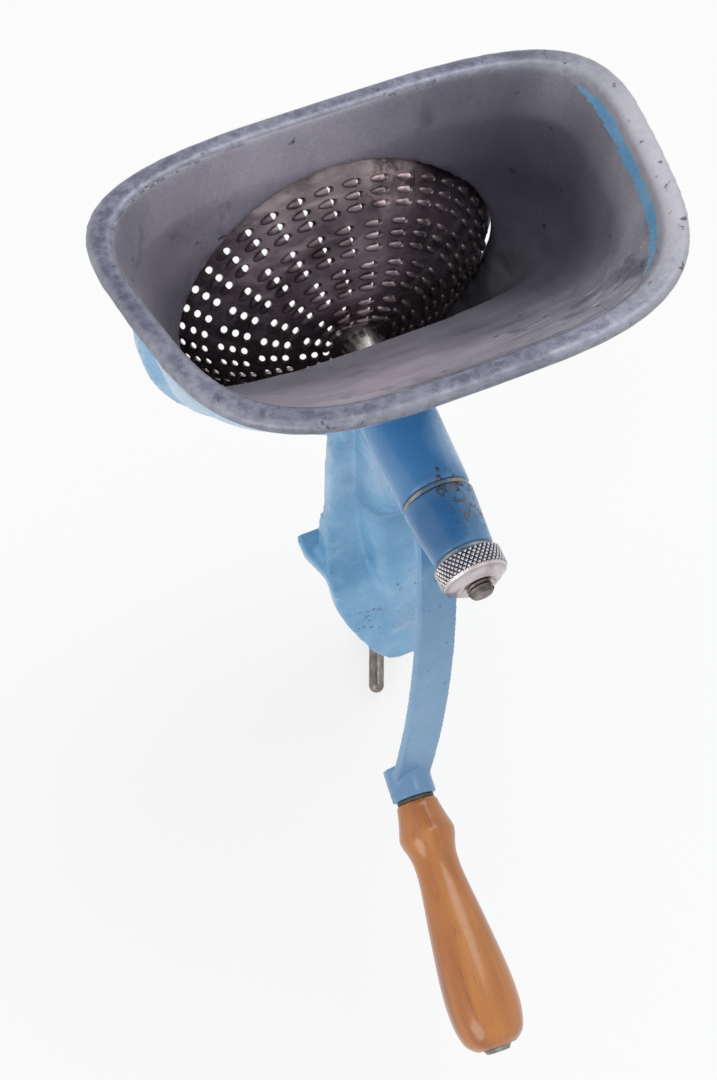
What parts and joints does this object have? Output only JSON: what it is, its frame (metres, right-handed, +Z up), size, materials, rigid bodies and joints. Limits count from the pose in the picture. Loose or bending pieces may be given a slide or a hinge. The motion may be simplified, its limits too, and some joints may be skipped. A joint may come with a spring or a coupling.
{
  "type": "hand-crank grain mill",
  "caption": "Hand-crank mill with a wide hopper, a domed punched drum, a curved crank arm with a turned wooden grip, and a table clamp with a screw and tommy bar.",
  "frame": {"origin": "on the underside of the clamp's seat, where it rests on the table top", "axes": "+Z up, the crank end of the axle along -Y, the table slides in towards -Y under the seat, +X to the right of someone who faces the crank"},
  "size_m": [0.185, 0.2843, 0.3504],
  "materials": {
    "hopper_casting": "bare casting inside, blue paint outside",
    "painted_casting": "worn glossy blue paint",
    "bronze_bush": "plain",
    "steel": "dull, slightly tarnished",
    "dark_steel": "oxidised",
    "polished_steel": "turned bright",
    "drum_sheet": "dark tinned sheet with punched teeth",
    "nickel": "nickel plated, diamond knurl",
    "varnished_wood": "varnished, turned"
  },
  "bodies": {
    "body": {"hopper": "hopper_casting", "frame": "painted_casting", "bush_front": "bronze_bush", "bush_rear": "bronze_bush", "thrust_washer": "steel", "drum_washer": "steel"},
    "drive": {"shaft": "steel", "drum": "drum_sheet", "drum_hub": "polished_steel", "drum_nut": "steel", "crank": "painted_casting", "hub_washer": "steel", "knurled_nut": "nickel", "grip_pin": "steel", "grip_washer": "dark_steel"},
    "handle": {"grip": "varnished_wood"},
    "pad": {"clamp_pad": "steel"},
    "screw": {"clamp_screw": "steel", "pad_clip": "steel"},
    "bar": {"tommy_bar": "steel"}
  },
  "joints": [
    {"name": "crank_turn", "type": "hinge", "parent": "body", "child": "drive", "pos_m": [0, 0, 0.115], "axis": [0, -1, 0], "continuous": true},
    {"name": "grip_spin", "type": "hinge", "parent": "drive", "child": "handle", "pos_m": [-0.03549, -0.11, 0.01194], "axis": [-0.078, -0.9897, -0.1203], "continuous": true},
    {"name": "pad_rise", "type": "slide", "parent": "body", "child": "pad", "axis": [0, 0, 1], "range_m": [0, 0.03]},
    {"name": "screw_turn", "type": "hinge", "parent": "pad", "child": "screw", "pos_m": [0, 0.0075, -0.08], "axis": [0, 0, 1], "range_deg": [0, 7200]},
    {"name": "bar_slide", "type": "slide", "parent": "screw", "child": "bar", "axis": [0.3907, 0.9205, 0], "range_m": [-0.015, 0.023]}
  ],
  "couplings": [
    {"joint": "pad_rise", "follows": "screw_turn", "m_per_rad": 0.00023873}
  ]
}
